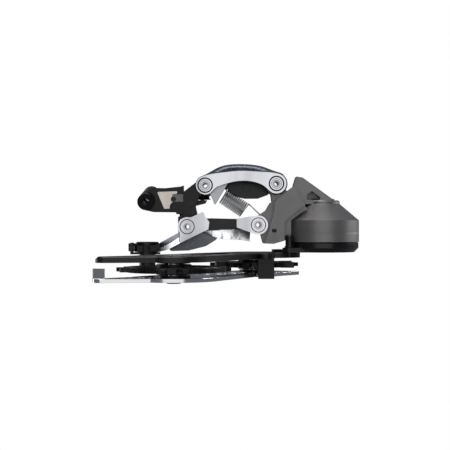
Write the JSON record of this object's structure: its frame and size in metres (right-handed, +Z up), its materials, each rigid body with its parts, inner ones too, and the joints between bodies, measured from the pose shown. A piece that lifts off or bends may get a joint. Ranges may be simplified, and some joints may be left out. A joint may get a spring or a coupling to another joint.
{
  "type": "rear derailleur",
  "caption": "Rear bicycle derailleur: parallelogram between two knuckles, clutch housing, sprung long cage and two toothed pulleys.",
  "frame": {"origin": "the hanger bolt's axis at the hanger's outer face", "axes": "+X forward along the bicycle, +Y inboard towards the wheel along the hanger bolt, +Z up"},
  "size_m": [0.1485, 0.0676, 0.1453],
  "materials": {
    "steel": "satin",
    "bright_metal": "polished",
    "black_casting": "satin",
    "bronze": "satin",
    "black_plastic": "matte",
    "warm_silver": "satin",
    "pin_steel": "satin",
    "polished_link": "polished",
    "bushing": "satin",
    "satin_silver": "satin",
    "spring_steel": "satin",
    "grey_knuckle": "matte",
    "black_metal": "gloss",
    "seal_rubber": "matte",
    "cage_black": "satin",
    "cage_silver": "polished"
  },
  "bodies": {
    "hanger": {"hanger_bolt": "steel", "stop_washer": "steel"},
    "b_body": {"b_knuckle": "black_casting", "b_axle_bushing": "bronze", "b_tension_screw": "steel", "limit_screws": "steel", "roller_pin": "steel", "cable_guide": "black_casting", "guide_insert": "warm_silver", "guide_screws": "steel", "cable_ferrule": "bright_metal", "pin_outer_rear": "pin_steel", "pin_inner_rear": "pin_steel"},
    "roller": {"cable_roller": "black_plastic"},
    "outer_arm": {"outer_link": "polished_link", "outer_link_bushings": "bushing", "cable_arm": "satin_silver", "cable_clamp_washer": "steel", "cable_clamp_bolt": "steel", "return_spring": "spring_steel"},
    "inner_arm": {"inner_link": "polished_link", "inner_link_bushings": "bushing"},
    "p_body": {"p_knuckle": "grey_knuckle", "neck_cap": "black_metal", "clutch_ring": "grey_knuckle", "p_axle_bushing": "bronze", "clutch_race": "steel", "clutch_rollers": "bright_metal", "cage_spring": "spring_steel", "button_spring": "spring_steel", "pin_outer_front": "pin_steel", "pin_inner_front": "pin_steel"},
    "button": {"lock_button": "black_plastic"},
    "cage": {"p_axle": "bright_metal", "damper_base": "black_metal", "seal_ring": "seal_rubber", "stop_pin": "black_metal", "outer_plate": "cage_black", "inner_plate": "cage_silver", "guide_bridge": "black_plastic", "bridge_screw": "steel", "pulley_bolts": "steel", "pulley_sleeves": "bright_metal", "dust_caps": "black_metal"},
    "guide_wheel": {"guide_pulley": "black_plastic", "guide_bearing": "bright_metal"},
    "tension_wheel": {"tension_pulley": "black_plastic", "tension_bearing": "bright_metal"}
  },
  "joints": [
    {"name": "b_pivot", "type": "hinge", "parent": "hanger", "child": "b_body", "pos_m": [0, -0.003, 0], "axis": [0, 1, 0], "range_deg": [0, 20]},
    {"name": "roller_spin", "type": "hinge", "parent": "b_body", "child": "roller", "pos_m": [0.0344, -0.0346, -0.0194], "axis": [0, 1, 0], "continuous": true},
    {"name": "shift", "type": "hinge", "parent": "b_body", "child": "outer_arm", "pos_m": [0.0363, -0.0414, -0.023], "axis": [0, 0, 1], "range_deg": [0, 45], "stiffness_Nm_per_rad": 0.45, "springref_deg": -40.11, "deforming": ["return_spring"]},
    {"name": "inner_follow", "type": "hinge", "parent": "b_body", "child": "inner_arm", "pos_m": [0.0257, -0.017, -0.023], "axis": [0, 0, 1], "range_deg": [0, 45]},
    {"name": "p_follow", "type": "hinge", "parent": "outer_arm", "child": "p_body", "pos_m": [0.0783, -0.0424, -0.023], "axis": [0, 0, 1], "range_deg": [-45, 0]},
    {"name": "lock_press", "type": "slide", "parent": "p_body", "child": "button", "axis": [0, 0, 1], "range_m": [0, 0.0015], "stiffness_N_per_m": 300, "springref_m": -0.001},
    {"name": "cage_pivot", "type": "hinge", "parent": "p_body", "child": "cage", "pos_m": [0.1066, -0.01, -0.022], "axis": [0, -1, 0], "range_deg": [0, 95], "stiffness_Nm_per_rad": 0.35, "springref_deg": -57.3},
    {"name": "guide_spin", "type": "hinge", "parent": "cage", "child": "guide_wheel", "pos_m": [0.0654, 0.0055, -0.022], "axis": [0, 1, 0], "continuous": true},
    {"name": "tension_spin", "type": "hinge", "parent": "cage", "child": "tension_wheel", "pos_m": [0.0209, 0.0055, -0.104], "axis": [0, 1, 0], "continuous": true}
  ],
  "couplings": [
    {"joint": "inner_follow", "follows": "shift", "ratio": 1},
    {"joint": "p_follow", "follows": "shift", "ratio": -1}
  ]
}
